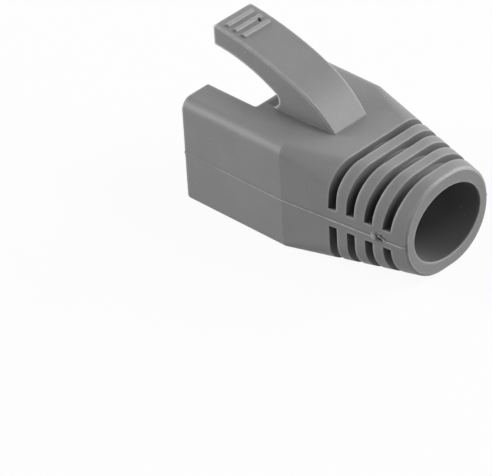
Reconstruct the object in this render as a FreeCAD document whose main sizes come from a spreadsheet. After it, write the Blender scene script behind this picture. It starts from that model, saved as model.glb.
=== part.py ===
import FreeCAD, Part
import math
import os
import Sketcher

# A strain relief boot for a network plug, moulded in one piece of soft plastic.
# The cable runs along X and leaves at +X, the plug goes in at -X, and the latch lever is on top.
# The origin is under the middle of the boot, on the surface that it lies on.
# Every driving size is written once, in this table, in millimetres.

SIZES = {
    # Body
    "overall_length": 26.4,
    "body_width": 14.0,
    "body_top": 5.78,            # cable axis to the top face
    "body_under": 5.5,           # cable axis to the underside
    "top_edge_radius": 1.1,
    "under_edge_radius": 0.8,
    "taper_length": 14.1,        # from the straight box to the cable end
    # Collar at the cable end
    "collar_width": 11.06,
    "collar_top": 5.07,
    "collar_under": 5.0,
    "collar_edge_radius": 4.95,
    "rim_chamfer": 0.17,
    # Grooves and the tube that shows between them
    "groove_count": 4,
    "groove_start": 8.7,         # far wall of the first groove, from the cable end
    "groove_width": 0.87,
    "groove_pitch": 2.02,
    "groove_lean": 5.7,          # degrees that the upper grooves lean towards the cable
    "groove_reach": 2.0,         # the cutters run this far past the body
    "rib_above": 1.15,           # side rib across the grooves, above the axis
    "rib_below": 0.77,
    "core_radius": 4.8,
    "core_bite": 0.6,            # the tube runs this far into the material at both ends
    # Cable bore
    "bore_radius": 3.75,
    "flare_half_width": 4.49,    # the oval rim, sideways
    "flare_length": 3.0,
    "throat_start": 9.2,         # where the round bore begins, from the cable end
    # Plug socket
    "socket_width": 11.7,
    "socket_depth": 9.4,
    "socket_top_wall": 1.35,
    "socket_floor_wall": 1.55,
    "socket_edge_radius": 0.4,
    "run_in": 0.5,               # the cutters start this far outside
    # Latch notch in the top wall
    "notch_width": 6.98,
    "notch_length": 6.14,
    "notch_edge_radius": 0.3,
    # Retaining lip on the socket floor
    "lip_width": 10.6,
    "lip_height": 0.98,
    "lip_flat": 0.9,
    "lip_ramp": 1.1,
    "lip_root": 0.6,             # the lip reaches this far into the floor
    # Latch lever
    "lever_width": 4.96,
    "lever_setback": 0.2,        # from the mouth to the lever's tip
    "lever_rise": 11.87,         # cable axis to the top of the tip
    "lever_back_radius": 34.6,
    "lever_back_offset": 3.5,    # the centre of the back's arc lies this far outside the mouth
    "lever_knee": 10.62,         # from the mouth to where the back turns down
    "lever_heel": 14.8,          # from the mouth to the low step where the back ends
    "lever_heel_drop": 0.03,     # the step's edge below the level of the top face
    "lever_root": 0.75,          # the lever reaches this far into the top wall
    "lever_web": 0.93,
    "lever_leg": 1.04,
    "lever_leg_rise": 9.78,      # cable axis to the underside of the legs at the tip
    "lever_leg_radius": 16.8,
    "lever_gap_length": 7.85,    # from the mouth to the end of the legs' open underside
    "lever_gap_rise": 1.66,      # top face to the end of that underside
    "lever_gap_radius": 0.95,
    "lever_gap_foot": 7.4,       # from the mouth to where the gap meets the top face
    "lever_straight": 7.2,       # from the mouth to where the sides begin to draw in
    "lever_side_radius": 95.0,
    "lever_edge": 0.1,
    "channel_length": 10.9,      # from the mouth to the end of the channel under the web
    # Grip bars on the lever
    "bar_count": 3,
    "bar_width": 0.56,
    "bar_length": 3.4,
    "bar_round_radius": 0.34,
    "bar_side": 0.07,            # the flat part of a bar's side, above the lever
    "bar_root": 0.3,
    "bar_first": 1.21,           # from the mouth to the first bar
    "bar_pitch": 1.02,
    "blister_radius": 0.2,       # a small burst blister beside the middle bar
    "blister_depth": 0.2,
    "blister_from_bar": 0.34,
    "blister_across": 1.15,
    # Parting ridge and gate marks on both sides
    "seam_height": 0.09,
    "seam_width": 0.2,
    "seam_root": 0.4,
    "gate_height": 0.14,
    "nub_radius": 0.37,
    "nub_depth": 0.22,
    "nub_from_end": 3.55,
    "pit_radius": 0.32,
    "pit_depth": 0.28,
    "pit_from_end": 2.78,
}

ZERO_LENGTH = 1e-9
SMALL_GAP = 1e-3
SMALL_VOLUME = 1e-4
SAME_PLACE = 1e-6

doc = FreeCAD.newDocument("boot")


class Size:
    """A length as the expression that drives it, with the number that it gives at present."""

    def __init__(self, text, number):
        self.text = text
        self.number = number

    def __add__(self, other):
        return Size(f"({self.text} + {other.text})", self.number + other.number)

    def __sub__(self, other):
        return Size(f"({self.text} - {other.text})", self.number - other.number)

    def __mul__(self, other):
        return Size(f"({self.text} * {other.text})", self.number * other.number)

    def __truediv__(self, other):
        return Size(f"({self.text} / {other.text})", self.number / other.number)

    def __neg__(self):
        return Size(f"(-1 * {self.text})", -self.number)

    def root(self):
        """The square root."""
        return Size(f"sqrt({self.text})", math.sqrt(self.number))

    def tangent(self):
        """The tangent, with the size read as degrees."""
        return Size(f"tan({self.text})", math.tan(math.radians(self.number)))


def size(name):
    """A size from the table."""
    return Size(f"Sizes.{name}", float(SIZES[name]))


def plain(number):
    """A plain number that belongs to a shape's rule and isn't a size, such as two halves."""
    return Size(repr(float(number)), float(number))


ZERO = plain(0)
HALF = plain(0.5)

# Stations along the boot
CABLE_END = size("overall_length") * HALF
MOUTH = -CABLE_END
BEND = CABLE_END - size("taper_length")
THROAT = CABLE_END - size("throat_start")
FLARE = CABLE_END - size("flare_length")
SOCKET_BACK = MOUTH + size("socket_depth")
GROOVE_FAR = CABLE_END - size("groove_start")
GROOVE_NEAR = GROOVE_FAR + size("groove_width")
GROOVE_SPAN = size("groove_pitch") * (size("groove_count") - plain(1))
LEVER_TIP = MOUTH + size("lever_setback")
LEVER_KNEE = MOUTH + size("lever_knee")
LEVER_HEEL = MOUTH + size("lever_heel")
BACK_CENTRE = MOUTH - size("lever_back_offset")

# Heights above the surface that the boot lies on
AXIS = size("body_under")
TOP_FACE = AXIS + size("body_top")
SOCKET_ROOF = TOP_FACE - size("socket_top_wall")


def chord_height(radius, reach):
    """Height of a circle above its centre, at a distance to one side of it."""
    return (radius * radius - reach * reach).root()


BACK_RADIUS = size("lever_back_radius")
BACK_CENTRE_HEIGHT = AXIS + size("lever_rise") - chord_height(BACK_RADIUS, LEVER_TIP - BACK_CENTRE)


def back_height(station, depth=ZERO):
    """Height of the lever's arched back at a station, or of a curve a little below it."""
    return BACK_CENTRE_HEIGHT + chord_height(BACK_RADIUS - depth, station - BACK_CENTRE)


def side_at(station):
    """Half the outside width at a station of the taper."""
    box = size("body_width") * HALF
    return box - (box - size("collar_width") * HALF) * (station - BEND) / size("taper_length")


def make_table():
    """Writes every driving size into the sheet under its own name."""
    sheet = doc.addObject("Spreadsheet::Sheet", "Sizes")
    for row, (name, number) in enumerate(SIZES.items(), start=1):
        sheet.set(f"A{row}", name)
        sheet.set(f"B{row}", str(number))
        sheet.setAlias(f"B{row}", name)
    doc.recompute()


def place(item, role, right=ZERO, up=ZERO, out=ZERO):
    """Puts a sketch or ball on one of the body's origin planes, moved right, up and outwards."""
    support = next(entry for entry in boot.Origin.OriginFeatures if entry.Role == role)
    item.AttachmentSupport = [(support, "")]
    item.MapMode = "FlatFace"
    for letter, driver in (("x", right), ("y", up), ("z", out)):
        if driver is not ZERO:
            item.setExpression(f"AttachmentOffset.Base.{letter}", driver.text)


def new_sketch(name, role, right=ZERO, up=ZERO, out=ZERO):
    """A sketch on one of the body's origin planes."""
    sketch = boot.newObject("Sketcher::SketchObject", name)
    place(sketch, role, right, up, out)
    return sketch


def bind(sketch, kind, name, references, driver):
    """Adds a named dimension to a sketch and ties it to a size."""
    index = sketch.addConstraint(Sketcher.Constraint(kind, *references, driver.number))
    sketch.renameConstraint(index, name)
    sketch.setExpression(f"Constraints.{name}", driver.text)


def pin(sketch, name, edge, point, across, along):
    """Fixes a point of a sketch by its distances from the sketch's origin."""
    for kind, axis, driver in (("DistanceX", -2, across), ("DistanceY", -1, along)):
        if abs(driver.number) < ZERO_LENGTH:
            sketch.addConstraint(Sketcher.Constraint("PointOnObject", edge, point, axis))
        else:
            bind(sketch, kind, f"{name}_{kind[-1]}", (-1, 1, edge, point), driver)


def arc_between(start, end, radius):
    """The shorter arc between two points of an anticlockwise outline.

    A positive radius bulges outwards and a negative one inwards.
    """
    chord = end - start
    outwards = FreeCAD.Vector(chord.y, -chord.x, 0).normalize()
    rise = abs(radius) - math.sqrt(radius * radius - chord.Length * chord.Length / 4)
    return Part.Arc(start, (start + end) * 0.5 + outwards * math.copysign(rise, radius), end)


def outline(sketch, corners):
    """A closed anticlockwise outline.

    Each corner has a name, its two distances from the sketch's origin, and the radius of the arc
    that leads to the next corner, or None before a straight edge.
    """
    spots = [FreeCAD.Vector(across.number, along.number, 0) for _, across, along, _ in corners]
    edges, starts = [], []
    for index, (_, _, _, radius) in enumerate(corners):
        start, end = spots[index], spots[(index + 1) % len(spots)]
        curve = Part.LineSegment(start, end) if radius is None else arc_between(start, end, radius.number)
        edge = sketch.addGeometry(curve, False)
        edges.append(edge)
        starts.append(1 if sketch.getPoint(edge, 1).distanceToPoint(start) < SAME_PLACE else 2)
    for index, (name, across, along, radius) in enumerate(corners):
        following = (index + 1) % len(edges)
        sketch.addConstraint(Sketcher.Constraint(
            "Coincident", edges[index], 3 - starts[index], edges[following], starts[following]))
        pin(sketch, name, edges[index], starts[index], across, along)
        if radius is not None:
            bind(sketch, "Radius", f"{name}_radius", (edges[index],), radius if radius.number > 0 else -radius)
    return edges


def rounded_outline(sketch, half_width, top, under, top_radius, under_radius):
    """A rectangle with rounded corners, between two heights, in eight edges."""
    outline(sketch, [
        ("right_low", half_width, under + under_radius, None),
        ("right_high", half_width, top - top_radius, top_radius),
        ("top_right", half_width - top_radius, top, None),
        ("top_left", top_radius - half_width, top, top_radius),
        ("left_high", -half_width, top - top_radius, None),
        ("left_low", -half_width, under + under_radius, under_radius),
        ("under_left", under_radius - half_width, under, None),
        ("under_right", half_width - under_radius, under, under_radius),
    ])


def ring_outline(sketch, radius):
    """A circle about the cable axis in eight arcs, one for each edge of a rounded rectangle."""
    corners = []
    for turn in (-30, 30, 60, 120, 150, 210, 240, 300):
        across = radius * plain(math.cos(math.radians(turn)))
        along = AXIS + radius * plain(math.sin(math.radians(turn)))
        corners.append((f"turn_{turn % 360}", across, along, radius))
    outline(sketch, corners)


def circle(sketch, radius, across=ZERO, along=AXIS):
    """A circle, about the cable axis unless its centre is given."""
    centre = FreeCAD.Vector(across.number, along.number, 0)
    edge = sketch.addGeometry(Part.Circle(centre, FreeCAD.Vector(0, 0, 1), radius.number), False)
    pin(sketch, "centre", edge, 3, across, along)
    bind(sketch, "Radius", "radius", (edge,), radius)


def oval(sketch, half_width, half_height):
    """An ellipse about the cable axis, wider than it is high."""
    centre = FreeCAD.Vector(0, AXIS.number, 0)
    side = centre + FreeCAD.Vector(half_width.number, 0, 0)
    crown = centre + FreeCAD.Vector(0, half_height.number, 0)
    edge = sketch.addGeometry(Part.Ellipse(side, crown, centre), False)
    pin(sketch, "centre", edge, 3, ZERO, AXIS)
    sketch.exposeInternalGeometry(edge)
    wide, high = edge + 1, edge + 2
    sketch.addConstraint(Sketcher.Constraint("Horizontal", wide))
    bind(sketch, "Distance", "wide_axis", (wide, 1, wide, 2), half_width + half_width)
    bind(sketch, "Distance", "high_axis", (high, 1, high, 2), half_height + half_height)


def volume_change(step, name, grows):
    """Runs one modelling step and checks that it adds or removes material."""
    before = boot.Shape.Volume if boot.Tip else 0.0
    feature = step()
    doc.recompute()
    change = boot.Shape.Volume - before
    if (change if grows else -change) < SMALL_VOLUME:
        raise RuntimeError(f"{name} changes the volume by {change}")
    return feature


def extrude(kind, sketch, length, symmetric=False, backwards=False):
    """A pad or a pocket of a sketch, named after it."""
    name = f"{sketch.Name}_{kind.lower()}"

    def step():
        feature = boot.newObject(f"PartDesign::{kind}", name)
        feature.Profile = sketch
        feature.SideType = "Symmetric" if symmetric else "One side"
        feature.Reversed = backwards
        feature.setExpression("Length", length.text)
        return feature

    return volume_change(step, name, kind == "Pad")


def loft(kind, first, second):
    """A straight-sided loft between two sketches, added or removed."""
    name = f"{first.Name}_to_{second.Name}"

    def step():
        feature = boot.newObject(f"PartDesign::{kind}Loft", name)
        feature.Profile = first
        feature.Sections = [second]
        feature.Ruled = True
        return feature

    return volume_change(step, name, kind == "Additive")


def soften_edges(kind, base, name, driver, chosen):
    """Rounds or chamfers the edges of the body that a test picks out."""
    names = [f"Edge{index}" for index, edge in enumerate(base.Shape.Edges, start=1) if chosen(edge)]
    feature = boot.newObject(f"PartDesign::{kind}", name)
    feature.Base = (base, names)
    feature.setExpression("Radius" if kind == "Fillet" else "Size", driver.text)
    doc.recompute()
    return feature


def follow(pattern, originals):
    """Makes a pattern of finished steps the newest step of the body."""
    pattern.Originals = originals
    boot.Tip = pattern
    doc.recompute()


def make_outside():
    """The straight box round the plug and the taper to the rounded collar."""
    box = new_sketch("box", "YZ_Plane", out=BEND)
    rounded_outline(box, size("body_width") * HALF, TOP_FACE, ZERO,
                    size("top_edge_radius"), size("under_edge_radius"))
    collar = new_sketch("collar", "YZ_Plane", out=CABLE_END)
    rounded_outline(collar, size("collar_width") * HALF, AXIS + size("collar_top"),
                    AXIS - size("collar_under"), size("collar_edge_radius"), size("collar_edge_radius"))
    extrude("Pad", box, BEND - MOUTH, backwards=True)
    taper = loft("Additive", box, collar)
    end = CABLE_END.number
    soften_edges("Chamfer", taper, "rim", size("rim_chamfer"), lambda edge: edge.BoundBox.XMin > end - SAME_PLACE)


def make_side_marks(name, side):
    """The fine ridge where the mould halves met, and the gate's nub and pit, on one side."""
    box = size("body_width") * HALF
    end = CABLE_END - size("rim_chamfer")
    height, root = size("seam_height"), size("seam_root")
    seam = new_sketch(f"{name}_seam", "XY_Plane", out=AXIS)
    outline(seam, [
        ("inner_front", MOUTH, (box - root) * side, None),
        ("inner_bend", BEND, (box - root) * side, None),
        ("inner_end", end, (side_at(end) - root) * side, None),
        ("outer_end", end, (side_at(end) + height) * side, None),
        ("outer_bend", BEND, (box + height) * side, None),
        ("outer_front", MOUTH, (box + height) * side, None),
    ])
    extrude("Pad", seam, size("seam_width"), symmetric=True)
    for kind, mark in (("Pad", "nub"), ("Pocket", "pit")):
        station = CABLE_END - size(f"{mark}_from_end")
        spot = new_sketch(f"{name}_gate_{mark}", "XZ_Plane", out=-(side_at(station) * side))
        circle(spot, size(f"{mark}_radius"), station, AXIS + size("gate_height"))
        extrude(kind, spot, size(f"{mark}_depth") + size(f"{mark}_depth"), symmetric=True)


def make_grooves():
    """Cross grooves above and below the side ribs, and the tube that shows at their bottoms."""
    rib_top = AXIS + size("rib_above")
    ceiling = TOP_FACE + size("groove_reach")
    lean = (ceiling - rib_top) * size("groove_lean").tangent()
    upper = new_sketch("upper_groove", "XZ_Plane")
    outline(upper, [
        ("far_foot", GROOVE_FAR, rib_top, None),
        ("near_foot", GROOVE_NEAR, rib_top, None),
        ("near_head", GROOVE_NEAR + lean, ceiling, None),
        ("far_head", GROOVE_FAR + lean, ceiling, None),
    ])
    rib_foot = AXIS - size("rib_below")
    ground = -size("groove_reach")
    lower = new_sketch("lower_groove", "XZ_Plane")
    outline(lower, [
        ("far_foot", GROOVE_FAR, ground, None),
        ("near_foot", GROOVE_NEAR, ground, None),
        ("near_head", GROOVE_NEAR, rib_foot, None),
        ("far_head", GROOVE_FAR, rib_foot, None),
    ])
    cutter = size("body_width") + size("groove_reach")
    cuts = [extrude("Pocket", sketch, cutter, symmetric=True) for sketch in (upper, lower)]
    row = boot.newObject("PartDesign::LinearPattern", "groove_row")
    row.Direction = (lower, ["H_Axis"])
    row.setExpression("Length", GROOVE_SPAN.text)
    row.setExpression("Occurrences", size("groove_count").text)
    follow(row, cuts)
    tube = new_sketch("core_tube", "YZ_Plane", out=GROOVE_FAR - size("core_bite"))
    circle(tube, size("core_radius"))
    top_lean = (size("core_radius") - size("rib_above")) * size("groove_lean").tangent()
    extrude("Pad", tube, GROOVE_SPAN + size("groove_width") + top_lean + size("core_bite") + size("core_bite"))


def make_lever():
    """The arched latch lever: a web with a leg along each side, joined to the top at its heel."""
    knee_height = back_height(LEVER_KNEE)
    heel_height = TOP_FACE - size("lever_heel_drop")
    run, fall = LEVER_HEEL - LEVER_KNEE, heel_height - knee_height
    normal_x = (LEVER_KNEE - BACK_CENTRE) / BACK_RADIUS
    normal_z = (knee_height - BACK_CENTRE_HEIGHT) / BACK_RADIUS
    heel_radius = -((run * run + fall * fall) / (run * normal_x + fall * normal_z)) * HALF
    root_height = TOP_FACE - size("lever_root")
    gap_foot = MOUTH + size("lever_gap_foot")
    lever = new_sketch("lever", "XZ_Plane")
    outline(lever, [
        ("leg_tip", LEVER_TIP, AXIS + size("lever_leg_rise"), -size("lever_leg_radius")),
        ("gap_end", MOUTH + size("lever_gap_length"), TOP_FACE + size("lever_gap_rise"),
         -size("lever_gap_radius")),
        ("gap_foot", gap_foot, TOP_FACE, None),
        ("root_front", gap_foot, root_height, None),
        ("root_rear", LEVER_HEEL, root_height, None),
        ("heel", LEVER_HEEL, heel_height, heel_radius),
        ("knee", LEVER_KNEE, knee_height, BACK_RADIUS),
        ("tip", LEVER_TIP, AXIS + size("lever_rise"), None),
    ])
    extrude("Pad", lever, size("lever_width"), symmetric=True)
    solid = draw_in_sides()
    knee, top_face, half = LEVER_KNEE.number, TOP_FACE.number, SIZES["lever_width"] / 2

    def on_back(edge):
        """True for the long edges of the back and for the edge across its tip."""
        box = edge.BoundBox
        middle = edge.valueAt((edge.FirstParameter + edge.LastParameter) / 2)
        from_centre = math.hypot(middle.x - BACK_CENTRE.number, middle.z - BACK_CENTRE_HEIGHT.number)
        arched = abs(from_centre - BACK_RADIUS.number) < SMALL_GAP
        down_heel = middle.x > knee and middle.z > top_face
        across = box.YLength > half and box.XLength < SAME_PLACE and box.XMin < knee
        return (arched or down_heel) and (across or (box.XLength > half and box.YLength < half))

    soften_edges("Chamfer", solid, "lever_edges", size("lever_edge"), on_back)
    make_bars()
    make_channel()


def draw_in_sides():
    """Draws the lever's sides in by a slight curve from its straight part to its heel."""
    start, end = MOUTH + size("lever_straight"), LEVER_HEEL + size("run_in")
    half, radius = size("lever_width") * HALF, size("lever_side_radius")
    end_half = half - radius + chord_height(radius, end - start)
    clear = half + size("run_in")
    sides = new_sketch("lever_sides", "XY_Plane", out=TOP_FACE)
    outline(sides, [
        ("left_start", start, half, -radius),
        ("left_end", end, end_half, None),
        ("left_far_end", end, clear, None),
        ("left_far_start", start, clear, None),
    ])
    outline(sides, [
        ("right_start", start, -half, None),
        ("right_far_start", start, -clear, None),
        ("right_far_end", end, -clear, None),
        ("right_end", end, -end_half, -radius),
    ])
    return extrude("Pocket", sides, size("lever_rise") + size("lever_rise"), symmetric=True)


def make_bars():
    """Grip bars across the lever, set out round the centre of its arched back."""
    bars = new_sketch("grip_bar", "XZ_Plane", right=BACK_CENTRE, up=BACK_CENTRE_HEIGHT)
    middle = size("bar_first") + size("lever_back_offset")
    surface = chord_height(BACK_RADIUS, middle)
    left, right = middle - size("bar_width") * HALF, middle + size("bar_width") * HALF
    shoulder = surface + size("bar_side")
    outline(bars, [
        ("root_left", left, surface - size("bar_root"), None),
        ("root_right", right, surface - size("bar_root"), None),
        ("shoulder_right", right, shoulder, size("bar_round_radius")),
        ("shoulder_left", left, shoulder, None),
    ])
    first = extrude("Pad", bars, size("bar_length"), symmetric=True)
    fan = boot.newObject("PartDesign::PolarPattern", "grip_bars")
    fan.Axis = (bars, ["N_Axis"])
    fan.Reversed = True
    fan.Mode = "Spacing"
    degrees = plain(math.degrees(1.0))
    fan.setExpression("Offset", (size("bar_pitch") / BACK_RADIUS * degrees).text)
    fan.setExpression("Occurrences", size("bar_count").text)
    follow(fan, [first])
    burst = BACK_CENTRE + middle + size("bar_pitch") + size("blister_from_bar")
    blister = new_sketch("blister", "XY_Plane", out=back_height(burst))
    circle(blister, size("blister_radius"), burst, size("blister_across"))
    extrude("Pocket", blister, size("blister_depth") + size("blister_depth"), symmetric=True)


def make_channel():
    """The channel between the lever's legs, under its web."""
    start, end = LEVER_TIP - size("run_in"), MOUTH + size("channel_length")
    channel = new_sketch("channel", "XZ_Plane")
    outline(channel, [
        ("floor_front", start, TOP_FACE, None),
        ("floor_end", end, TOP_FACE, None),
        ("web_end", end, back_height(end, size("lever_web")), BACK_RADIUS - size("lever_web")),
        ("web_front", start, back_height(start, size("lever_web")), None),
    ])
    extrude("Pocket", channel, size("lever_width") - size("lever_leg") - size("lever_leg"), symmetric=True)


def make_notch():
    """The slot in the top wall that the plug's latch bends down through."""
    notch = new_sketch("notch", "XY_Plane", out=TOP_FACE + size("run_in"))
    half, corner = size("notch_width") * HALF, size("notch_edge_radius")
    front, end = MOUTH - size("run_in"), MOUTH + size("notch_length")
    outline(notch, [
        ("right_front", front, -half, None),
        ("right_end", end - corner, -half, corner),
        ("end_right", end, corner - half, None),
        ("end_left", end, half - corner, corner),
        ("left_end", end - corner, half, None),
        ("left_front", front, half, None),
    ])
    extrude("Pocket", notch, size("run_in") + size("socket_top_wall") + size("run_in"))


def make_hollow():
    """The plug socket, its narrowing throat, the round bore and the oval flare at the rim."""
    roof, floor, edge = SOCKET_ROOF, size("socket_floor_wall"), size("socket_edge_radius")
    half = size("socket_width") * HALF
    mouth = new_sketch("socket", "YZ_Plane", out=MOUTH - size("run_in"))
    rounded_outline(mouth, half, roof, floor, edge, edge)
    extrude("Pocket", mouth, size("run_in") + size("socket_depth"), backwards=True)
    back = new_sketch("socket_back", "YZ_Plane", out=SOCKET_BACK)
    rounded_outline(back, half, roof, floor, edge, edge)
    throat = new_sketch("throat", "YZ_Plane", out=THROAT)
    ring_outline(throat, size("bore_radius"))
    loft("Subtractive", back, throat)
    bore = new_sketch("bore", "YZ_Plane", out=FLARE)
    circle(bore, size("bore_radius"))
    extrude("Pocket", bore, size("throat_start") - size("flare_length"))
    rim = new_sketch("bore_rim", "YZ_Plane", out=CABLE_END)
    oval(rim, size("flare_half_width"), size("bore_radius"))
    loft("Subtractive", bore, rim)


def make_lip():
    """The low lip across the socket floor that holds the plug, with a ramp behind it."""
    lip = new_sketch("lip", "XZ_Plane")
    floor = size("socket_floor_wall")
    crest = MOUTH + size("lip_flat")
    foot = crest + size("lip_ramp")
    outline(lip, [
        ("root_front", MOUTH, floor - size("lip_root"), None),
        ("root_rear", foot, floor - size("lip_root"), None),
        ("ramp_foot", foot, floor, None),
        ("crest_rear", crest, floor + size("lip_height"), None),
        ("crest_front", MOUTH, floor + size("lip_height"), None),
    ])
    extrude("Pad", lip, size("lip_width"), symmetric=True)


def check_and_write():
    """Checks every object and the finished solid, and writes it out."""
    doc.recompute()
    faults = [item.Name for item in doc.Objects if {"Invalid", "Error"} & set(item.State)]
    shape = boot.Shape
    if faults or shape.isNull() or not shape.isValid() or len(shape.Solids) != 1:
        raise RuntimeError(f"faults in {faults}, solids {len(shape.Solids)}")
    os.makedirs("parts", exist_ok=True)
    shape.exportStep(os.path.join("parts", f"{boot.Label}.step"))
    box = shape.BoundBox
    print(f"{boot.Label}: {box.XLength:.2f} x {box.YLength:.2f} x {box.ZLength:.2f} mm,"
          f" z from {box.ZMin:.3f}, volume {shape.Volume:.1f} mm3")


make_table()
boot = doc.addObject("PartDesign::Body", "boot")
boot.Label = "boot"
make_lever()
make_outside()
make_side_marks("left", plain(1))
make_side_marks("right", plain(-1))
make_grooves()
make_notch()
make_hollow()
make_lip()
boot.Placement = FreeCAD.Placement()
check_and_write()
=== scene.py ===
"""A moulded strain relief boot for a network plug, dressed over its solid and set in a plain studio.

The boot lies on its flat underside. X runs along the cable, Y sideways and Z up, in metres.
"""

import logging
import math
from dataclasses import dataclass
from enum import Enum
from functools import cached_property
from typing import Any, Union

import bpy
from mathutils import Matrix, Vector


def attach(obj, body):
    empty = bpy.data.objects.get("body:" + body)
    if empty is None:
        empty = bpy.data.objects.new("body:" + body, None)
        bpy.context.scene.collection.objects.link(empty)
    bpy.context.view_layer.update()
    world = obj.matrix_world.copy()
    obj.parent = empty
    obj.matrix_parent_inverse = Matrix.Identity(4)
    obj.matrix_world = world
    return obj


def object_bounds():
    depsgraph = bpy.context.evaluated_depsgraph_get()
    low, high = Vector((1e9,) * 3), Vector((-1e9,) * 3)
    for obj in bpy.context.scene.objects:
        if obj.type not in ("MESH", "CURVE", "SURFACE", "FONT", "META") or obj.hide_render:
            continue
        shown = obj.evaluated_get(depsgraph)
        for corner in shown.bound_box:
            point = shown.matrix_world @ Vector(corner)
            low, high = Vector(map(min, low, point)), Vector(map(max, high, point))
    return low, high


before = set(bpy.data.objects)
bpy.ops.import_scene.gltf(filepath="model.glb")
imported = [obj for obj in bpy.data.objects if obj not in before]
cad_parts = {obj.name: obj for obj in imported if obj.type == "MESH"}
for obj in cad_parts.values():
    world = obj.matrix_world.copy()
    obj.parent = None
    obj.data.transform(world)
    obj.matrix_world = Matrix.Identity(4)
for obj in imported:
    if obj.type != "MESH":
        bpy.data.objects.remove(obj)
solid_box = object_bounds()

log = logging.getLogger("boot")

MM = 0.001

# The boot's own landmarks, from the solid's box and the sizes of its source
MOUTH, CABLE_END = solid_box[0].x, solid_box[1].x
AXIS_HEIGHT = 5.5 * MM
BEND = CABLE_END - 14.1 * MM
BORE_RADIUS = 3.75 * MM
RIDGE_SIDE = solid_box[1].y
RIDGE_END_SIDE = 5.62 * MM
GATE_HEIGHT = AXIS_HEIGHT + 0.14 * MM
NUB_PLACE = CABLE_END - 3.55 * MM
PIT_PLACE = CABLE_END - 2.78 * MM

# The circle that the lever's arched back follows
BACK_CENTRE = MOUTH - 3.5 * MM
BACK_CENTRE_HEIGHT = AXIS_HEIGHT - 22.53 * MM
BACK_RADIUS = 34.6 * MM

# How many rays a point sends out to find what shelters it, and to round its edge
SHELTER_SAMPLES = 6
BEVEL_SAMPLES = 8

# The middle of a noise pattern, which runs from 0 to 1
NOISE_MIDDLE = 0.5

# A band holds the value that gives 0 and the value that gives 1, and may run downwards
Band = tuple[float, float]
Operand = Union["Wire", float]


class Grain(Enum):
    """A pattern in the plastic, as features per metre and octaves of detail."""

    MOTTLE = (260.0, 3.0)
    TOOLING = (1500.0, 3.0)
    TEAR = (1500.0, 2.0)
    SATIN = (6500.0, 2.0)
    SPECK = (9000.0, 0.0)

    def __init__(self, scale: float, detail: float) -> None:
        """Names the two numbers of an option."""
        self.scale = scale
        self.detail = detail


class Wire:
    """One output of a node, used like a number in an expression."""

    def __init__(self, graph: "Graph", node: bpy.types.Node, output: str | int = 0) -> None:
        """Keeps the node and which of its outputs this is.

        Args:
            graph: The tree that the node belongs to.
            node: The node itself.
            output: The output's name or number.
        """
        self.graph = graph
        self.node = node
        self.output = output

    @property
    def socket(self) -> bpy.types.NodeSocket:
        """The output socket itself."""
        return self.node.outputs[self.output]

    def other(self, output: str | int) -> "Wire":
        """Another output of the same node."""
        return Wire(self.graph, self.node, output)

    def _math(self, operation: str, first: Operand, second: Operand = 0.0) -> "Wire":
        """Adds one Math node for an operation on two operands."""
        return self.graph.node("ShaderNodeMath", {"operation": operation}, {0: first, 1: second})

    def __add__(self, other: Operand) -> "Wire":
        """Adds a number or wire."""
        return self._math("ADD", self, other)

    def __radd__(self, other: Operand) -> "Wire":
        """Adds this wire to a number."""
        return self._math("ADD", other, self)

    def __sub__(self, other: Operand) -> "Wire":
        """Subtracts a number or wire."""
        return self._math("SUBTRACT", self, other)

    def __rsub__(self, other: Operand) -> "Wire":
        """Subtracts this wire from a number."""
        return self._math("SUBTRACT", other, self)

    def __mul__(self, other: Operand) -> "Wire":
        """Multiplies by a number or wire."""
        return self._math("MULTIPLY", self, other)

    def __rmul__(self, other: Operand) -> "Wire":
        """Multiplies a number by this wire."""
        return self._math("MULTIPLY", other, self)

    def __abs__(self) -> "Wire":
        """The value without its sign."""
        return self._math("ABSOLUTE", self)

    def most(self, other: Operand) -> "Wire":
        """The larger of two values."""
        return self._math("MAXIMUM", self, other)

    def ramp(self, low: float, high: float) -> "Wire":
        """A smooth rise from 0 to 1 as this wire goes from low to high.

        Args:
            low: The value that gives 0.
            high: The value that gives 1, which may be the smaller one.

        Returns:
            The eased wire.
        """
        settings = {"interpolation_type": "SMOOTHSTEP"}
        inputs = {"Value": self, "From Min": low, "From Max": high}
        return self.graph.node("ShaderNodeMapRange", settings, inputs)


class Graph:
    """A node tree that is built up by calls."""

    def __init__(self, tree: bpy.types.NodeTree) -> None:
        """Takes over a tree and empties it."""
        self.tree = tree
        tree.nodes.clear()

    def node(self, kind: str, settings: dict[str, Any] | None = None,
             inputs: dict[str | int, Any] | None = None, output: str | int = 0) -> Wire:
        """Adds a node.

        Args:
            kind: The node's type.
            settings: Its properties, set before its sockets.
            inputs: Values or wires for its input sockets, by name or number.
            output: The output that the result stands for.

        Returns:
            The wire from that output.
        """
        made = self.tree.nodes.new(kind)
        for key, value in (settings or {}).items():
            setattr(made, key, value)
        for key, value in (inputs or {}).items():
            if isinstance(value, Wire):
                self.tree.links.new(value.socket, made.inputs[key])
            else:
                made.inputs[key].default_value = value
        return Wire(self, made, output)

    def parts(self, vector: Wire) -> tuple[Wire, Wire, Wire]:
        """The X, Y and Z of a vector."""
        x = self.node("ShaderNodeSeparateXYZ", {}, {0: vector}, output="X")
        return x, x.other("Y"), x.other("Z")


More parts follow.
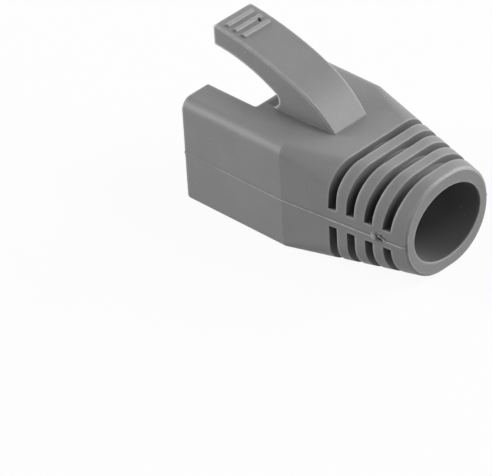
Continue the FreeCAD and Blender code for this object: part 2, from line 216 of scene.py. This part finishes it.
class Paint(Graph):
    """A material's node tree."""

    def __init__(self, name: str) -> None:
        """Makes the material.

        Args:
            name: The material's name.
        """
        self.material = bpy.data.materials.new(name)
        self.material.use_nodes = True
        super().__init__(self.material.node_tree)

    def blend(self, factor: Operand, first: Operand, second: Operand) -> Wire:
        """Mixes two colours.

        Args:
            factor: 0 for the first colour and 1 for the second.
            first: A colour's wire or a grey level.
            second: A colour's wire or a grey level.

        Returns:
            The mixed colour.
        """
        first, second = (side if isinstance(side, Wire) else grey(side) for side in (first, second))
        inputs = {0: factor, 6: first, 7: second}
        return self.node("ShaderNodeMix", {"data_type": "RGBA"}, inputs, output=2)

    def steer(self, factor: Wire, first: Wire, second: Wire) -> Wire:
        """Mixes two normals, from the first at a factor of 0 to the second at 1."""
        inputs = {0: factor, 4: first, 5: second}
        return self.node("ShaderNodeMix", {"data_type": "VECTOR"}, inputs, output=1)

    def noise(self, point: Wire, grain: Grain) -> Wire:
        """A noise pattern of a grain over a point's coordinates."""
        inputs = {"Vector": point, "Scale": grain.scale, "Detail": grain.detail}
        return self.node("ShaderNodeTexNoise", {}, inputs)

    def bump(self, depth: float, height: Wire, normal: Wire) -> Wire:
        """A normal that follows a height pattern, so many metres deep, over another normal."""
        inputs = {"Strength": 1.0, "Distance": depth, "Height": height, "Normal": normal}
        return self.node("ShaderNodeBump", {}, inputs)

    def openness(self, reach: float, inside: bool) -> Wire:
        """How open the space round a point is, inside the plastic or outside it, as far as a reach."""
        settings = {"inside": inside, "only_local": True, "samples": SHELTER_SAMPLES}
        return self.node("ShaderNodeAmbientOcclusion", settings, {"Distance": reach}, output="AO")

    def finish(self, inputs: dict[str, Any]) -> bpy.types.Material:
        """Ends the tree in one main shader.

        Args:
            inputs: Values or wires for the shader's sockets.

        Returns:
            The finished material.
        """
        shader = self.node("ShaderNodeBsdfPrincipled", {}, inputs)
        self.node("ShaderNodeOutputMaterial", {}, {"Surface": shader})
        return self.material


class Recipe(Graph):
    """A Geometry Nodes tree with named inputs, run once to give a plain mesh."""

    def __init__(self, name: str) -> None:
        """Makes the tree with its geometry input and output.

        Args:
            name: The name of the piece that the tree makes.
        """
        super().__init__(bpy.data.node_groups.new(name, "GeometryNodeTree"))
        self.name = name
        self.values: dict[str, Any] = {}
        for end in ("INPUT", "OUTPUT"):
            self.tree.interface.new_socket("Geometry", in_out=end, socket_type="NodeSocketGeometry")
        self.base = self.node("NodeGroupInput", output="Geometry")

    def size(self, name: str, value: Any, kind: str = "NodeSocketFloat") -> Wire:
        """Adds a named input.

        Args:
            name: The input's name.
            value: What the modifier sets it to.
            kind: The type of its socket.

        Returns:
            The wire from the input.
        """
        item = self.tree.interface.new_socket(name, in_out="INPUT", socket_type=kind)
        self.values[item.identifier] = value
        return self.base.other(name)

    def run(self, mesh: bpy.types.Mesh, result: Wire, material: bpy.types.Material) -> bpy.types.Object:
        """Realizes the result over a starting mesh.

        Args:
            mesh: The mesh that the tree starts from.
            result: The tree's last geometry.
            material: The finish of the whole result.

        Returns:
            An object that holds the result as its own mesh, with no modifier.
        """
        finish = self.size("Finish", material, "NodeSocketMaterial")
        real = self.node("GeometryNodeRealizeInstances", {}, {"Geometry": result})
        done = self.node("GeometryNodeSetMaterial", {}, {"Geometry": real, "Material": finish})
        self.node("NodeGroupOutput", {}, {"Geometry": done})
        piece = bpy.data.objects.new(self.name, mesh)
        bpy.context.scene.collection.objects.link(piece)
        modifier = piece.modifiers.new(self.name, "NODES")
        modifier.node_group = self.tree
        for identifier, value in self.values.items():
            modifier[identifier] = value
        evaluated = piece.evaluated_get(bpy.context.evaluated_depsgraph_get())
        plain = bpy.data.meshes.new_from_object(evaluated)
        piece.modifiers.remove(modifier)
        # Instances bring an empty slot with them, so the finish is put back as the only one
        plain.materials.clear()
        plain.materials.append(material)
        piece.data = plain
        return piece


def grey(level: float) -> tuple[float, float, float, float]:
    """A neutral colour with full opacity."""
    return (level, level, level, 1.0)


def direction(azimuth: float, elevation: float) -> Vector:
    """The unit vector towards an azimuth and an elevation, both in degrees."""
    turn, tilt = math.radians(azimuth), math.radians(elevation)
    return Vector((math.cos(turn) * math.cos(tilt), math.sin(turn) * math.cos(tilt), math.sin(tilt)))


def ridge_side(x: float) -> float:
    """How far out the top of the parting ridge lies at a station along the cable."""
    share = max(0.0, (x - BEND) / (CABLE_END - BEND))
    return RIDGE_SIDE + (RIDGE_END_SIDE - RIDGE_SIDE) * share


def ring(across: Wire, up: Wire, band: Band) -> Wire:
    """A ramp over the distance from an axis, given the two coordinates from it."""
    return (across * across + up * up).ramp(band[0] ** 2, band[1] ** 2)


def seen(graph: Graph) -> Wire:
    """Tells what the camera sees from the light that falls on the boot.

    Args:
        graph: The tree that asks.

    Returns:
        1 for what the camera sees, also in a mirror or through glass, and 0 for other light.
    """
    camera = graph.node("ShaderNodeLightPath", output="Is Camera Ray")
    return camera.most(camera.other("Is Glossy Ray")).most(camera.other("Is Transmission Ray"))


class Place:
    """A point on the boot, as wires."""

    def __init__(self, graph: Paint) -> None:
        """Reads the point, its coordinates and how much its surface faces the cable end.

        Args:
            graph: The tree that reads them.
        """
        self.point = graph.node("ShaderNodeTexCoord", output="Object")
        self.x, self.y, self.z = graph.parts(self.point)
        self.rise = self.z - AXIS_HEIGHT
        self.facing = graph.parts(self.point.other("Normal"))[0]


@dataclass(frozen=True)
class Zones:
    """Masks over the boot's own regions, worked out from bands of its coordinates."""

    at: Place
    bore_radius: Band = (BORE_RADIUS * 1.3, BORE_RADIUS * 1.15)
    socket_side: Band = (6.6 * MM, 6.2 * MM)
    socket_rise: Band = (5.1 * MM, 4.7 * MM)
    socket_back: Band = (0.0, -0.5 * MM)
    mouth_face: Band = (MOUTH, MOUTH + 0.25 * MM)
    cable_face: Band = (CABLE_END, CABLE_END - 0.25 * MM)
    lever_side: Band = (3.2 * MM, 3.0 * MM)
    lever_height: Band = (11.2 * MM, 11.5 * MM)
    grip_side: Band = (2.1 * MM, 1.9 * MM)
    grip_back: Band = (MOUTH + 4.8 * MM, MOUTH + 4.2 * MM)
    bar_radius: Band = (BACK_RADIUS + 0.03 * MM, BACK_RADIUS + 0.08 * MM)
    rim_radius: Band = (4.55 * MM, 4.85 * MM)
    rim_start: Band = (CABLE_END - 0.5 * MM, CABLE_END - 0.2 * MM)
    seam_rise: Band = (0.6 * MM, 0.3 * MM)
    wall_facing: Band = (0.5, 0.8)
    wall_end: Band = (CABLE_END - 0.6 * MM, CABLE_END - 1.0 * MM)
    pocket_side: Band = (2.45 * MM, 2.15 * MM)
    pocket_floor: Band = (11.0 * MM, 11.2 * MM)
    pocket_top: Band = (11.6 * MM, 11.4 * MM)
    pocket_front: Band = (MOUTH + 6.3 * MM, MOUTH + 6.7 * MM)
    pocket_back: Band = (MOUTH + 9.0 * MM, MOUTH + 8.6 * MM)
    low_height: Band = (AXIS_HEIGHT + 4.6 * MM, AXIS_HEIGHT + 2.4 * MM)
    taper_start: Band = (BEND + 3.4 * MM, BEND + 2.4 * MM)

    @cached_property
    def hollow(self) -> Wire:
        """How far inside the socket, throat or bore a point lies.

        Returns:
            0 outside and at the openings, rising to 1 a little way in.
        """
        at = self.at
        socket = abs(at.y).ramp(*self.socket_side) * abs(at.rise).ramp(*self.socket_rise)
        inside = ring(at.y, at.rise, self.bore_radius).most(socket * at.x.ramp(*self.socket_back))
        return inside * (at.x.ramp(*self.cable_face) * at.x.ramp(*self.mouth_face))

    @cached_property
    def lever(self) -> Wire:
        """1 on the latch lever, where edges get a softer rounding and a stronger painted highlight, and
        0 elsewhere.
        """
        return abs(self.at.y).ramp(*self.lever_side) * self.at.z.ramp(*self.lever_height)

    @cached_property
    def grip(self) -> Wire:
        """1 around the grip bars on the lever's tip."""
        return self.lever * abs(self.at.y).ramp(*self.grip_side) * self.at.x.ramp(*self.grip_back)

    @cached_property
    def bar(self) -> Wire:
        """1 on the grip bars, which stand above the lever's arched back."""
        along, up = self.at.x - BACK_CENTRE, self.at.z - BACK_CENTRE_HEIGHT
        return self.grip * ring(along, up, self.bar_radius)

    @cached_property
    def rim(self) -> Wire:
        """1 around the outer rim of the cable end."""
        return self.at.x.ramp(*self.rim_start) * ring(self.at.y, self.at.rise, self.rim_radius)

    @cached_property
    def seam(self) -> Wire:
        """1 along the parting line, where the painted edge highlight is mostly held back."""
        return abs(self.at.rise).ramp(*self.seam_rise)

    @cached_property
    def wall(self) -> Wire:
        """1 on the groove walls that face the cable end, which the ribs shade; low down they get painted
        shade, and they get little painted edge highlight.
        """
        return self.at.facing.ramp(*self.wall_facing) * self.at.x.ramp(*self.wall_end)

    @cached_property
    def pocket(self) -> Wire:
        """The small shelf between the notch and the lever's root, in the lever's shade.

        Returns:
            1 on the shelf and 0 elsewhere.
        """
        across, x, z = abs(self.at.y).ramp(*self.pocket_side), self.at.x, self.at.z
        level = z.ramp(*self.pocket_floor) * z.ramp(*self.pocket_top)
        return across * level * x.ramp(*self.pocket_front) * x.ramp(*self.pocket_back)

    @cached_property
    def low(self) -> Wire:
        """1 on the lower part of the boot, where less light reaches the grooves."""
        return self.at.z.ramp(*self.low_height)

    @cached_property
    def deepest_shade(self) -> Wire:
        """1 where hollows get the deepest painted shade: low down, and before the taper's grooves begin.
        """
        return self.low.most(self.at.x.ramp(*self.taper_start))


@dataclass(frozen=True)
class MouldedPlastic:
    """The boot's soft grey plastic, satin from a spark-eroded mould, with painted highlights on its
    edges and painted shade in its hollows and inside.

    A share tells how much of a colour or a painted shade shows, a loss how much of the painted highlight
    or the painted shade is taken away, and a swing how far a noise moves the roughness.
    """

    name: str = "satin_plastic"
    base_grey: float = 0.223
    worn_grey: float = 0.256
    # Painted highlight greys for edges, the second one for the rim and the lever
    speck_grey: float = 0.43
    edge_highlight_grey: float = 0.45
    rim_highlight_grey: float = 0.85
    # Painted shade greys, for recesses and for the inside of the socket, throat and bore
    recess_shade_grey: float = 0.01
    inside_shade_grey: float = 0.105
    mottle_band: Band = (0.35, 0.65)
    mottle_share: float = 0.35
    tooling_band: Band = (0.4, 0.7)
    tooling_share: float = 0.15
    speck_band: Band = (0.74, 0.80)
    speck_share: float = 0.3
    # How the painted edge highlights spread and how strong they are on each region
    highlight_reach: float = 0.34 * MM
    highlight_band: Band = (0.08, 0.5)
    highlight_unevenness: float = 0.7
    lever_highlight: float = 0.5
    grip_highlight_loss: float = 0.4
    seam_highlight_loss: float = 0.7
    wall_highlight_loss: float = 0.9
    bar_highlight: float = 0.4
    # How the painted shade spreads into recesses, groove walls and the shelf under the lever
    recess_reach: float = 1.9 * MM
    recess_band: Band = (0.88, 0.1)
    recess_shade_share: float = 0.3
    deepest_shade_share: float = 0.42
    wall_shade_share: float = 0.5
    pocket_shade_share: float = 0.55
    grip_shade_loss: float = 0.85
    edge_radius: float = 0.13 * MM
    lever_edge_radius: float = 0.15 * MM
    bar_edge_radius: float = 0.05 * MM
    satin_depth: float = 0.0035 * MM
    tooling_depth: float = 0.008 * MM
    roughness: float = 0.5
    tooling_swing: float = 0.10
    satin_swing: float = 0.06
    refraction: float = 1.47

    def flecked(self, graph: Paint, mottle: Wire, tooling: Wire, speck: Wire) -> Wire:
        """The colour of an open surface.

        Args:
            graph: The plastic's tree.
            mottle: The broad pattern.
            tooling: The mould's own texture.
            speck: 1 on the pale specks and 0 elsewhere.

        Returns:
            The colour.
        """
        clouds = mottle.ramp(*self.mottle_band) * self.mottle_share
        streaks = tooling.ramp(*self.tooling_band) * self.tooling_share
        tone = graph.blend(clouds + streaks, self.base_grey, self.worn_grey)
        return graph.blend(speck * self.speck_share, tone, self.speck_grey)

    def with_painted_highlights(self, graph: Paint, zones: Zones, colour: Wire, tooling: Wire) -> Wire:
        """Paints highlights onto edges, brightest on the cable end's rim and on the lever.

        Args:
            graph: The plastic's tree.
            zones: The boot's regions.
            colour: The colour so far.
            tooling: The mould's own texture, which breaks the painted highlight up.

        Returns:
            The colour with its painted edge highlights.
        """
        # Painted highlight: convex edges turn pale, most on the rim and the lever, less on the grip,
        # seam and groove walls
        strong_highlight = zones.rim.most((zones.lever - zones.grip) * self.lever_highlight)
        pale = graph.blend(strong_highlight, self.edge_highlight_grey, self.rim_highlight_grey)
        edge = (1.0 - graph.openness(self.highlight_reach, inside=True)).ramp(*self.highlight_band)
        uneven = (1.0 - self.highlight_unevenness) + self.highlight_unevenness * tooling
        edge_shine = edge * uneven * (1.0 + strong_highlight - self.grip_highlight_loss * zones.grip)
        spared = (zones.seam * self.seam_highlight_loss).most(zones.wall * self.wall_highlight_loss)
        edge_shine = (edge_shine * (1.0 - spared)).most(zones.bar * self.bar_highlight)
        return graph.blend(edge_shine, colour, pale)

    def with_painted_shade(self, graph: Paint, zones: Zones, colour: Wire) -> Wire:
        """Paints shade into hollows, onto low groove walls and onto the shelf under the lever's root.

        Args:
            graph: The plastic's tree.
            zones: The boot's regions.
            colour: The colour so far.

        Returns:
            The colour with its painted shade.
        """
        # Painted shade: darker where the outside is enclosed, on low groove walls and on the shelf in
        # the lever's shade
        enclosed = graph.openness(self.recess_reach, inside=False).ramp(*self.recess_band)
        shelter = enclosed.most(zones.wall * zones.low * self.wall_shade_share)
        deep = shelter * (self.recess_shade_share + self.deepest_shade_share * zones.deepest_shade)
        deep = deep * (1.0 - self.grip_shade_loss * zones.grip)
        return graph.blend(deep.most(zones.pocket * self.pocket_shade_share), colour, self.recess_shade_grey)

    def rounded(self, graph: Paint, zones: Zones) -> Wire:
        """Softens edges, more on the lever than elsewhere and least on its grip bars.

        Args:
            graph: The plastic's tree.
            zones: The boot's regions.

        Returns:
            The normal with soft edges.
        """
        radii = (self.edge_radius, self.lever_edge_radius, self.bar_edge_radius)
        crisp, soft, fine = (
            graph.node("ShaderNodeBevel", {"samples": BEVEL_SAMPLES}, {"Radius": radius})
            for radius in radii)
        return graph.steer(zones.grip, graph.steer(zones.lever, crisp, soft), fine)

    def material(self) -> bpy.types.Material:
        """Builds the plastic.

        Returns:
            The finished material.
        """
        graph = Paint(self.name)
        zones = Zones(Place(graph))
        mottle, tooling, satin, specks = (graph.noise(zones.at.point, grain) for grain in (
            Grain.MOTTLE, Grain.TOOLING, Grain.SATIN, Grain.SPECK))
        speck = specks.ramp(*self.speck_band)
        open_colour = self.flecked(graph, mottle, tooling, speck)
        with_painted_shade = self.with_painted_shade(graph, zones, self.with_painted_highlights(graph, zones, open_colour, tooling))
        # Painted shade inside the socket, throat and bore
        colour = graph.blend(zones.hollow, with_painted_shade, self.inside_shade_grey)
        rough = self.roughness + self.tooling_swing * (tooling - NOISE_MIDDLE)
        rough = rough + self.satin_swing * (satin - NOISE_MIDDLE)
        grainy = graph.bump(self.satin_depth, satin + speck, self.rounded(graph, zones))
        surface = graph.bump(self.tooling_depth, tooling, grainy)
        return graph.finish({
            "Base Color": colour, "Roughness": rough, "IOR": self.refraction, "Normal": surface})


@dataclass(frozen=True)
class TornPlastic:
    """The same plastic where it is thin or torn, and so paler and dull."""

    name: str
    pale_grey: float = 0.64
    dark_grey: float = 0.38
    roughness: float = 0.7

    def material(self) -> bpy.types.Material:
        """Builds the torn plastic.

        Returns:
            The finished material.
        """
        graph = Paint(self.name)
        point = graph.node("ShaderNodeTexCoord", output="Object")
        tone = graph.blend(graph.noise(point, Grain.TEAR), self.dark_grey, self.pale_grey)
        return graph.finish({"Base Color": tone, "Roughness": self.roughness})


@dataclass(frozen=True)
class Flash:
    """A thin, uneven fin of plastic on the parting ridge, from one station to another on both sides."""

    name: str
    start: float
    end: float
    radius: float
    start_lift: float = 0.0
    step: float = 0.11 * MM
    grain: float = 900.0
    swell_band: Band = (0.35, 0.7)
    thinnest_share: float = 0.15
    facets: int = 4

    def path(self) -> bpy.types.Mesh:
        """The fin's line on both sides, with a corner at the bend where it passes that.

        Returns:
            A mesh of edges only.
        """
        mesh = bpy.data.meshes.new(f"{self.name}_path")
        stations = [x for x in (self.start, BEND, self.end) if self.start <= x <= self.end]
        points, edges = [], []
        for side in (1.0, -1.0):
            first = len(points)
            for x in stations:
                lift = self.start_lift if x == self.start else 0.0
                points.append((x, ridge_side(x) * side, AXIS_HEIGHT + lift))
            edges += [(first + k, first + k + 1) for k in range(len(stations) - 1)]
        mesh.from_pydata(points, edges, [])
        return mesh

    def build(self, material: bpy.types.Material) -> bpy.types.Object:
        """Makes the fin.

        Args:
            material: The fin's finish.

        Returns:
            The fin as one mesh.
        """
        recipe = Recipe(self.name)
        step, radius = recipe.size("Step", self.step), recipe.size("Radius", self.radius)
        wave = recipe.node("ShaderNodeTexNoise", {}, {"Scale": recipe.size("Grain", self.grain)})
        swell = recipe.node("ShaderNodeMapRange", {}, {
            "Value": wave, "From Min": self.swell_band[0], "From Max": self.swell_band[1],
            "To Min": self.thinnest_share})
        path = recipe.node("GeometryNodeMeshToCurve", {}, {"Mesh": recipe.base})
        even = recipe.node("GeometryNodeResampleCurve", {"mode": "LENGTH"}, {
            "Curve": path, "Length": step})
        shaped = recipe.node("GeometryNodeSetCurveRadius", {}, {"Curve": even, "Radius": swell})
        profile = recipe.node("GeometryNodeCurvePrimitiveCircle", {}, {
            "Resolution": self.facets, "Radius": radius})
        fin = recipe.node("GeometryNodeCurveToMesh", {}, {
            "Curve": shaped, "Profile Curve": profile, "Fill Caps": True})
        return recipe.run(self.path(), fin, material)


@dataclass(frozen=True)
class Crumb:
    """A torn crumb, placed from one of the gate's two marks.

    Its mark is a station along the cable, and its centre lies further along by so much, sunk
    inside the top of the parting ridge there, and lifted above the gate's height.
    """

    mark: float
    along: float
    sink: float
    lift: float
    radius: float


@dataclass(frozen=True)
class GateScar:
    """Crumbs of plastic where the mould's gate was torn off, on both sides of the boot."""

    name: str = "gate_scar"
    crumbs: tuple[Crumb, ...] = (
        Crumb(NUB_PLACE, 0.0, 0.26 * MM, 0.0, 0.45 * MM),
        Crumb(PIT_PLACE, -0.22 * MM, 0.22 * MM, 0.14 * MM, 0.17 * MM),
        Crumb(PIT_PLACE, 0.20 * MM, 0.22 * MM, 0.16 * MM, 0.17 * MM),
        Crumb(PIT_PLACE, -0.05 * MM, 0.12 * MM, -0.44 * MM, 0.119 * MM),
        Crumb(PIT_PLACE, 0.24 * MM, 0.22 * MM, -0.18 * MM, 0.17 * MM),
    )
    roughness: float = 0.06 * MM
    grain: float = 2600.0
    subdivisions: int = 2

    def spots(self) -> bpy.types.Mesh:
        """Marks the crumbs on both sides.

        Returns:
            A mesh of one point for each crumb, with its radius as an attribute.
        """
        both = [(side, crumb) for side in (1.0, -1.0) for crumb in self.crumbs]
        mesh = bpy.data.meshes.new(f"{self.name}_spots")
        mesh.from_pydata([(crumb.mark + crumb.along, (ridge_side(crumb.mark) - crumb.sink) * side,
                           GATE_HEIGHT + crumb.lift) for side, crumb in both], [], [])
        sizes = mesh.attributes.new("size", "FLOAT", "POINT")
        sizes.data.foreach_set("value", [crumb.radius for _, crumb in both])
        return mesh

    def build(self, material: bpy.types.Material) -> bpy.types.Object:
        """Makes the crumbs.

        Args:
            material: Their finish.

        Returns:
            All crumbs as one mesh.
        """
        recipe = Recipe(self.name)
        depth, grain = recipe.size("Roughness", self.roughness), recipe.size("Grain", self.grain)
        size = recipe.node("GeometryNodeInputNamedAttribute", {"data_type": "FLOAT"}, {"Name": "size"})
        ball = recipe.node("GeometryNodeMeshIcoSphere", {}, {
            "Radius": 1.0, "Subdivisions": self.subdivisions})
        placed = recipe.node("GeometryNodeInstanceOnPoints", {}, {
            "Points": recipe.base, "Instance": ball, "Scale": size})
        real = recipe.node("GeometryNodeRealizeInstances", {}, {"Geometry": placed})
        noise = recipe.node("ShaderNodeTexNoise", {}, {"Scale": grain}, output="Color")
        centred = recipe.node("ShaderNodeVectorMath", {"operation": "SUBTRACT"}, {
            0: noise, 1: (NOISE_MIDDLE, NOISE_MIDDLE, NOISE_MIDDLE)})
        shift = recipe.node("ShaderNodeVectorMath", {"operation": "SCALE"}, {
            0: centred, "Scale": depth * 2.0})
        rough = recipe.node("GeometryNodeSetPosition", {}, {"Geometry": real, "Offset": shift})
        smooth = recipe.node("GeometryNodeSetShadeSmooth", {}, {"Geometry": rough})
        return recipe.run(self.spots(), smooth, material)


@dataclass(frozen=True)
class StrayDust:
    """Small flat flecks scattered over the whole surface."""

    name: str = "stray_dust"
    density: float = 60000.0
    radius: float = 0.05 * MM
    smallest: tuple[float, float, float] = (0.5, 0.5, 0.2)
    largest: tuple[float, float, float] = (1.3, 1.0, 0.5)
    subdivisions: int = 1
    seed: int = 7

    def build(self, solid: bpy.types.Object, material: bpy.types.Material) -> bpy.types.Object:
        """Scatters the flecks.

        Args:
            solid: The piece whose surface they lie on.
            material: Their finish.

        Returns:
            All flecks as one mesh.
        """
        recipe = Recipe(self.name)
        density, radius = recipe.size("Density", self.density), recipe.size("Radius", self.radius)
        seed = recipe.size("Seed", self.seed, "NodeSocketInt")
        points = recipe.node("GeometryNodeDistributePointsOnFaces", {}, {
            "Mesh": recipe.base, "Density": density, "Seed": seed})
        fleck = recipe.node("GeometryNodeMeshIcoSphere", {}, {
            "Radius": radius, "Subdivisions": self.subdivisions})
        flat = recipe.node("FunctionNodeRandomValue", {"data_type": "FLOAT_VECTOR"}, {
            "Min": self.smallest, "Max": self.largest, "Seed": seed})
        placed = recipe.node("GeometryNodeInstanceOnPoints", {}, {
            "Points": points, "Instance": fleck, "Rotation": points.other("Rotation"), "Scale": flat})
        mesh = solid.data.copy()
        mesh.name = "dusted_surface"
        return recipe.run(mesh, placed, material)


@dataclass
class Boot:
    """The boot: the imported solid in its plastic, the mould's flash and gate scars, and stray dust."""

    node: str = "boot"
    body: str = "root"
    slot: str = "moulded_plastic"
    plastic: MouldedPlastic = MouldedPlastic()
    torn: TornPlastic = TornPlastic("torn_plastic")
    scarred: TornPlastic = TornPlastic("scarred_plastic", pale_grey=0.46, dark_grey=0.30)
    flecks: TornPlastic = TornPlastic("mould_dust")
    flash: tuple[Flash, ...] = (
        Flash("box_flash", MOUTH + 4.0 * MM, BEND - 1.5 * MM, 0.017 * MM),
        Flash("parting_flash", BEND - 1.5 * MM, CABLE_END - 9.0 * MM, 0.035 * MM),
        Flash("rib_burr", CABLE_END - 9.0 * MM, NUB_PLACE, 0.065 * MM),
        Flash("gate_burr", PIT_PLACE - 0.3 * MM, PIT_PLACE + 0.6 * MM, 0.075 * MM, start_lift=0.36 * MM),
        Flash("rim_burr", PIT_PLACE + 0.6 * MM, CABLE_END - 0.4 * MM, 0.075 * MM),
    )
    scar: GateScar = GateScar()
    dust: StrayDust = StrayDust()

    def dress(self) -> bpy.types.Object:
        """Gives the solid its plastic.

        Returns:
            The solid.
        """
        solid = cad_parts[self.node]
        solid.data.materials.clear()
        solid.data.materials.append(self.plastic.material())
        return solid

    def build(self) -> list[bpy.types.Object]:
        """Dresses the solid and adds what clings to it.

        Returns:
            The pieces, the solid first.
        """
        solid = self.dress()
        torn = self.torn.material()
        added = [fin.build(torn) for fin in self.flash]
        added.append(self.scar.build(self.scarred.material()))
        added.append(self.dust.build(solid, self.flecks.material()))
        for piece in added:
            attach(piece, self.body)
        return [solid, *added]


@dataclass
class Viewpoint:
    """The camera, where the photograph was taken from.

    The anchor is the centre of the cable end, and the aim tells how many pixels right of the
    picture's centre and above it that point is seen.
    """

    azimuth: float = -44.215
    elevation: float = 35.039
    roll: float = -3.562
    focal_pixels: float = 4408.1
    distance: float = 398.542 * MM
    aim_pixels: tuple[float, float] = (201.493, 15.617)
    anchor: tuple[float, float, float] = (CABLE_END, 0.0, AXIS_HEIGHT)
    image_width: int = 492
    sensor_width: float = 36.0
    clip: tuple[float, float] = (0.01, 10.0)

    def axes(self) -> Matrix:
        """Works out which way the camera is turned.

        Returns:
            Its right, up and backward directions, as rows.
        """
        back = direction(self.azimuth, self.elevation)
        right = Vector((0, 0, 1)).cross(back).normalized()
        up = back.cross(right)
        c, s = math.cos(math.radians(self.roll)), math.sin(math.radians(self.roll))
        return Matrix((right * c + up * s, up * c - right * s, back))

    def build(self) -> bpy.types.Object:
        """Makes the camera and sets it as the scene's own.

        Returns:
            The camera.
        """
        turned = self.axes().transposed()
        pixel = self.distance / self.focal_pixels
        offset = Vector((self.aim_pixels[0] * pixel, self.aim_pixels[1] * pixel, -self.distance))
        centre = Vector(self.anchor) - turned @ offset
        data = bpy.data.cameras.new("camera")
        data.sensor_width = self.sensor_width
        data.sensor_fit = "HORIZONTAL"
        data.lens = self.focal_pixels * self.sensor_width / self.image_width
        data.clip_start, data.clip_end = self.clip
        camera = bpy.data.objects.new("camera", data)
        camera.matrix_world = Matrix.Translation(centre) @ turned.to_4x4()
        bpy.context.scene.collection.objects.link(camera)
        bpy.context.scene.camera = camera
        return camera


@dataclass(frozen=True)
class Softbox:
    """One soft lamp aimed at the boot, with its angles in degrees and its power in watts."""

    name: str
    azimuth: float
    elevation: float
    width: float
    height: float
    power: float
    distance: float = 0.6

    def build(self) -> bpy.types.Object:
        """Hangs the lamp.

        Returns:
            The lamp.
        """
        place = direction(self.azimuth, self.elevation) * self.distance
        data = bpy.data.lights.new(self.name, "AREA")
        data.shape = "RECTANGLE"
        data.size = self.width
        data.size_y = self.height
        data.energy = self.power
        lamp = bpy.data.objects.new(self.name, data)
        lamp.location = place
        lamp.rotation_euler = (-place).to_track_quat("-Z", "Y").to_euler()
        bpy.context.scene.collection.objects.link(lamp)
        return lamp


@dataclass
class Studio:
    """A floor and surround that show white, and softboxes on both sides of the boot."""

    floor_size: float = 3.0
    floor_drop: float = 0.02 * MM
    floor_bounce: float = 0.3
    floor_tone: float = 0.8
    floor_glow: float = 0.94
    world_strength: float = 0.02
    softboxes: tuple[Softbox, ...] = (
        Softbox("left_softbox", 211.0, 17.0, 0.35, 0.40, 4.4),
        Softbox("right_softbox", 20.0, 9.0, 0.30, 0.30, 0.5),
        Softbox("right_upper_softbox", 30.0, 45.0, 0.30, 0.30, 1.75),
        Softbox("right_rear_softbox", 66.0, 20.0, 0.40, 0.35, 2.7),
        Softbox("rear_softbox", 132.0, 24.0, 0.40, 0.30, 0.45),
        Softbox("front_fill", 318.0, 20.0, 0.20, 0.20, 0.2),
    )

    def floor(self) -> bpy.types.Object:
        """Lays the plain floor, white to the camera but for the boot's shadow.

        Returns:
            The floor.
        """
        mesh = bpy.data.meshes.new("floor")
        half = self.floor_size / 2
        corners = ((-half, -half), (half, -half), (half, half), (-half, half))
        mesh.from_pydata([(x, y, -self.floor_drop) for x, y in corners], [], [(0, 1, 2, 3)])
        floor = bpy.data.objects.new("floor", mesh)
        bpy.context.scene.collection.objects.link(floor)
        graph = Paint("floor_white")
        direct = seen(graph)
        tone = graph.blend(direct, self.floor_bounce, self.floor_tone)
        paper = graph.node("ShaderNodeBsdfDiffuse", {}, {"Color": tone})
        glow = graph.node("ShaderNodeEmission", {}, {"Color": grey(1.0), "Strength": 1.0})
        surface = graph.node("ShaderNodeMixShader", {}, {
            0: direct * self.floor_glow, 1: paper, 2: glow})
        graph.node("ShaderNodeOutputMaterial", {}, {"Surface": surface})
        mesh.materials.append(graph.material)
        return floor

    def world(self) -> None:
        """Makes a surround that is white to the camera and adds hardly any light."""
        world = bpy.data.worlds.new("studio")
        world.use_nodes = True
        graph = Graph(world.node_tree)
        strength = seen(graph) * (1.0 - self.world_strength) + self.world_strength
        sky = graph.node("ShaderNodeBackground", {}, {"Color": grey(1.0), "Strength": strength})
        graph.node("ShaderNodeOutputWorld", {}, {"Surface": sky})
        bpy.context.scene.world = world

    def build(self) -> None:
        """Sets the whole studio up."""
        self.world()
        self.floor()
        for softbox in self.softboxes:
            softbox.build()


def main() -> None:
    """Builds the boot, the studio and the camera in turn."""
    logging.basicConfig(level=logging.INFO, format="%(name)s: %(message)s")
    for piece in Boot().build():
        log.info("%s: %d faces", piece.name, len(piece.data.polygons))
    Studio().build()
    log.info("studio set")
    Viewpoint().build()
    log.info("camera set")
    bpy.context.scene.view_settings.view_transform = "Standard"
    log.info("sizes written")


if __name__ == "__main__":
    main()
